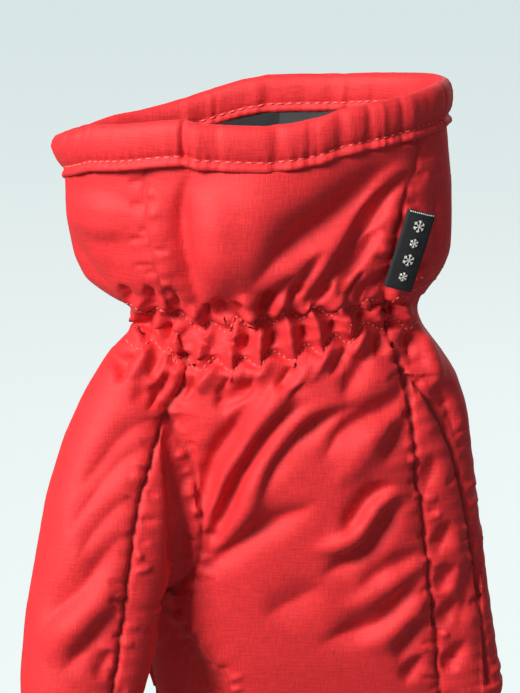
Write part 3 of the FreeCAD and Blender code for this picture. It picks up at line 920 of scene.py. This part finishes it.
def capsules(runs, radius):
    """One mesh of short thread lengths; each run is (start, end, outward)."""
    co, faces = [], []
    for a, b, out in runs:
        axis = b - a
        size = np.linalg.norm(axis)
        if size < 1e-6:
            continue
        axis /= size
        side = np.cross(axis, out)
        side /= max(np.linalg.norm(side), 1e-9)
        up = np.cross(side, axis)
        base = len(co)
        for s, r, lift in STITCH_SHAPE:
            centre = a + axis * size * s + up * lift
            for q in range(6):
                w = q * math.pi / 3
                co.append(centre + radius * r * (side * math.cos(w) + up * math.sin(w)))
        faces += [tuple(base + i for i in face) for face in ring_faces(len(STITCH_SHAPE), 6)]
        faces.append(tuple(base + q for q in range(5, -1, -1)))
        faces.append(tuple(base + 24 + q for q in range(6)))
    return np.array(co), faces


def hem_stitches(groove, sign):
    """Stitches round the band in a groove of its section; sign is 1 outside and -1 inside."""
    runs = []
    off, up = PROFILE[groove]
    for i in range(STITCHES):
        t0, t1 = (2 * math.pi * (i + share) / STITCHES for share in (0.12, 0.80))
        ends = []
        for t in (t0, t1):
            p, out = rim_frame(t)
            high = np.array([0, 0, up + 0.3 * math.sin(t * 5 + 1) * 0.4])
            ends.append(p + out * (off + hem_offset(t, up) + 0.22 * sign) + high)
        out = rim_frame((t0 + t1) / 2)[1]
        runs.append((ends[0], ends[1], out * sign))
    return runs


rows = hem_stitches(OUTER_GROOVE, 1) + hem_stitches(INNER_GROOVE, -1)
topstitch = piece("hem_topstitch", *capsules(rows, 0.3), thread)
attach(topstitch, "cuff")

main_faces = [net.faces[i] for i in np.where(groups["shell_main"])[0]]
tree = BVHTree.FromPolygons([Vector(v) for v in net.co], main_faces)


def on_surface(x, z, facing):
    """Point and normal of the main shell at (x, z), looked for from the palm side (1) or the back (-1)."""
    hit = tree.ray_cast(Vector((x, -90 * facing, z)), Vector((0, facing, 0)))
    return (None, None) if hit[0] is None else (np.array(hit[0]), np.array(hit[1]))


def stitched_line(points, facing, pitch):
    """Stitches along a line over the main shell, each 0.62 of the pitch long and just off the cloth."""
    pts = spline_points(points, 0.5)
    at = np.concatenate([[0], np.cumsum(np.linalg.norm(np.diff(pts, axis=0), axis=1))])
    runs = []
    s = 0.0
    while s + pitch < at[-1]:
        ends = []
        for q in (s, s + pitch * 0.62):
            x, z = np.interp(q, at, pts[:, 0]), np.interp(q, at, pts[:, 1])
            p, n = on_surface(x, z, facing)
            if p is None:
                break
            if n[1] * facing > 0:
                n = -n
            ends.append(p + n * 0.1)
        if len(ends) == 2 and np.linalg.norm(ends[1] - ends[0]) < 3 * pitch:
            runs.append((ends[0], ends[1], n))
        s += pitch
    return runs


wrist_runs = []
for row in (UPPER_ROW, LOWER_ROW):
    wrist_runs += stitched_line(row, 1, 1.9)
for row in (BACK_UPPER, BACK_LOWER):
    wrist_runs += stitched_line(row, -1, 1.9)
for row in ([(54, -55), (60, -54), (65.5, -52.5)], [(53.5, -58.8), (59, -57.6), (63.5, -56.4)]):
    wrist_runs += stitched_line(row, 1, 1.8)
wrist_thread = piece("wrist_stitching", *capsules(wrist_runs, 0.24), thread)
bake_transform(wrist_thread)
stands_for(wrist_thread, "wrist_elastic")

# ---------- lining seen through the mouth
rings = []
depths = [-9, -10.5, -12, -13.5, -16, -20, -27, -34, -41, -48, -54, -60, -65, -70, -76, -84, -94, -108, -124,
          -142, -160, -176, -186]
COUNT = 180
for z in depths:
    cx, a, b, square, tilt = trunk_at(z)
    inset = float(np.interp(-z, [9, 11.5, 13.5, 20, 28], [2.4, 2.6, 6.0, 9.6, 10.5]))
    ring = section(a - inset, b - inset, square, COUNT)
    angle = np.linspace(0, 2 * math.pi, COUNT, endpoint=False)
    ripple = 0.5 * np.sin(angle * 17 + z * 0.11) + 0.35 * np.sin(angle * 31 + 2 + z * 0.05)
    ring *= (1 + ripple / 60)[:, None]
    ring = ring @ rot((0, 1, 0), -tilt).T + np.array([cx, 0, z])
    if z > -45:
        sway = rim_height(ring[:, 0], ring[:, 1]) - RIM_SLOPE * ring[:, 0]
        ring[:, 2] += sway * smoothstep(z, -45, -9)
    rings.append(ring)
bottom = tuple((len(rings) - 1) * COUNT + i for i in range(COUNT))
lining = piece("lining_fleece", np.concatenate(rings), [*ring_faces(len(rings), COUNT), bottom], fleece)
lining.data.materials.append(panel_grey)
for poly in lining.data.polygons:
    c = poly.center
    if c.y > 0.004 and 0.010 < c.x - 0.0016 * math.sin(c.z * 300) < 0.040:
        poly.material_index = 1
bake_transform(lining)
stands_for(lining, "cuff_lining", "wrist_lining", "hand_lining", "thumb_root_lining")

# ---------- woven label in the outer seam


def label_point(u, v, lift):
    """Point of the label: u across from the sewn edge, v down from its top, both 0 to 1."""
    p = LABEL_TOP + down * v + LABEL_ACROSS * u
    n = np.cross(LABEL_ACROSS, down)
    n /= np.linalg.norm(n)
    if n[1] > 0:
        n = -n
    curl = 0.7 * math.sin(u * math.pi * 0.9) + 0.25 * math.sin(v * 5)
    return p + n * (lift + curl)


def label_sheet(lift, thick):
    """One layer of the folded label, closed round its edges."""
    nu, nv = 14, 34
    co, faces = [], []
    for side in (thick, 0.0):
        for j in range(nv + 1):
            for i in range(nu + 1):
                fray = 0.012 * math.sin(i * 2.3) * (j == 0)
                co.append(label_point(i / nu, j / nv + fray, lift + side))
    per = (nu + 1) * (nv + 1)
    for j in range(nv):
        for i in range(nu):
            a = j * (nu + 1) + i
            faces.append((a, a + 1, a + nu + 2, a + nu + 1))
            faces.append((per + a, per + a + nu + 1, per + a + nu + 2, per + a + 1))
    edge = [*range(nu + 1)] + [j * (nu + 1) + nu for j in range(1, nv + 1)]
    edge += [nv * (nu + 1) + i for i in range(nu - 1, -1, -1)] + [j * (nu + 1) for j in range(nv - 1, 0, -1)]
    for a, b in zip(edge, edge[1:] + edge[:1]):
        faces.append((b, a, per + a, per + b))
    return np.array(co), faces


layers = [label_sheet(lift, 0.45) for lift in (0.0, 0.75)]
label = piece("side_label", *joined(layers), label_black)
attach(label, "label")
stands_for(label, "label_")
width = np.linalg.norm(LABEL_ACROSS)
height = np.linalg.norm(down)
bars = []


def bar(u0, v0, u1, v1):
    """Short thread on the label's face, between two places in millimetres from its top sewn corner."""
    first, last = (u0 / width, v0 / height), (u1 / width, v1 / height)
    out = label_point(*first, 2.0) - label_point(*first, 1.0)
    bars.append((label_point(*first, 1.28), label_point(*last, 1.28), out))


# Four plain six-armed snow crystals down the label, and the frayed threads along its top.
for k in range(4):
    cu, cv = width * 0.5, height * (0.17 + 0.22 * k)
    arm = 2.3 if k % 2 == 0 else 1.7
    for q in range(6):
        w = math.radians(30 + 60 * q)
        du, dv = math.cos(w), math.sin(w)
        bar(cu, cv, cu + arm * du, cv + arm * dv)
        for turn_by in (-50, 50):
            wb = w + math.radians(turn_by)
            bu, bv = cu + arm * 0.58 * du, cv + arm * 0.58 * dv
            bar(bu, bv, bu + arm * 0.34 * math.cos(wb), bv + arm * 0.34 * math.sin(wb))
for i in range(12):
    u = width * (0.06 + 0.078 * i)
    bar(u, 0.05, u + 0.3, 0.55)
crystals = piece("label_crystals", *capsules(bars, 0.17), label_white)
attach(crystals, "label")
stands_for(shells["shell_main"], "")

# ---------- camera, light, stage
scene = bpy.context.scene
cam = bpy.data.cameras.new("camera")
cam.sensor_width = 36.0
cam.lens = 155.8
camera = bpy.data.objects.new("camera", cam)
scene.collection.objects.link(camera)
target = Vector((2.6 * MM, -15 * MM, -78.2 * MM))
elevation = math.radians(15.0)
camera.location = target + Vector((0, -math.cos(elevation), math.sin(elevation)))
camera.rotation_euler = (target - camera.location).to_track_quat("-Z", "Y").to_euler()
scene.camera = camera

world = bpy.data.worlds.new("studio")
world.use_nodes = True
set_shader(world.node_tree.nodes["Background"], Color=(0.94, 0.98, 1.0, 1), Strength=0.24)
scene.world = world
LIGHTS_AIM = Vector((0.0, 0.0, -0.1))
for name, loc, size, power, tint in (
        ("key", (-0.90, -0.85, 0.70), 0.50, 38.0, (1.0, 0.985, 0.93)),
        ("top", (-0.5, 0.1, 1.2), 0.6, 1.2, (0.97, 1.0, 1.0)),
        ("rim", (0.6, 1.3, 0.5), 0.6, 6.0, (0.95, 1.0, 1.0))):
    light = bpy.data.lights.new(name, "AREA")
    light.size = size
    light.energy = power
    light.color = tint
    lamp = bpy.data.objects.new(name, light)
    lamp.location = loc
    lamp.rotation_euler = (LIGHTS_AIM - Vector(loc)).to_track_quat("-Z", "Y").to_euler()
    scene.collection.objects.link(lamp)

# Plain pale floor and the pale surround it runs out to; neither lights the glove.


def pale(name, near, far, base, reach):
    """Pale paper: its own glow falls off with distance from the middle, and the lights shade it a little."""
    mat, nodes, links = new_material(name)
    shader = nodes["Principled BSDF"]
    where = node(nodes, "ShaderNodeTexCoord")
    length = node(nodes, "ShaderNodeVectorMath", operation="LENGTH")
    links.new(where.outputs["Object"], length.inputs[0])
    fall = node(nodes, "ShaderNodeMapRange", interpolation_type="SMOOTHSTEP",
                in_From_Min=reach[0], in_From_Max=reach[1])
    links.new(length.outputs["Value"], fall.inputs["Value"])
    links.new(mixed(nodes, links, fall.outputs["Result"], near, far), shader.inputs["Emission Color"])
    set_shader(shader, Emission_Strength=1.0, Base_Color=(*base, 1), Roughness=1.0, Specular_IOR_Level=0.0)
    return mat


FLOOR_NEAR = (0.715, 0.785, 0.78)
FLOOR_FAR = (0.64, 0.735, 0.735)
FLOOR_Z, CEILING_Z, STAGE_RADIUS, STAGE_SIDES = -0.46, 8.0, 9, 96


def stage_ring(z):
    turns = [2 * math.pi * k / STAGE_SIDES for k in range(STAGE_SIDES)]
    return [(STAGE_RADIUS * math.cos(w), STAGE_RADIUS * math.sin(w), z) for w in turns]


floor = make_object("floor", stage_ring(0.0), [tuple(range(STAGE_SIDES))])
floor.location = (0, 0, FLOOR_Z)
floor.data.materials.append(pale("pale_floor", FLOOR_NEAR, FLOOR_FAR, (0.16, 0.175, 0.175), (0.8, 3.6)))
ceiling = tuple(reversed(range(STAGE_SIDES, 2 * STAGE_SIDES)))
wall_co = stage_ring(FLOOR_Z) + stage_ring(CEILING_Z)
wall = make_object("surround", wall_co, [*ring_faces(2, STAGE_SIDES), ceiling])
wall.data.materials.append(pale("pale_surround", FLOOR_FAR, FLOOR_FAR, (0.0, 0.0, 0.0), (0.0, 1.0)))
for backdrop in (floor, wall):
    backdrop.visible_diffuse = False
    backdrop.visible_glossy = False
    backdrop.visible_shadow = False
scene.view_settings.view_transform = "Standard"
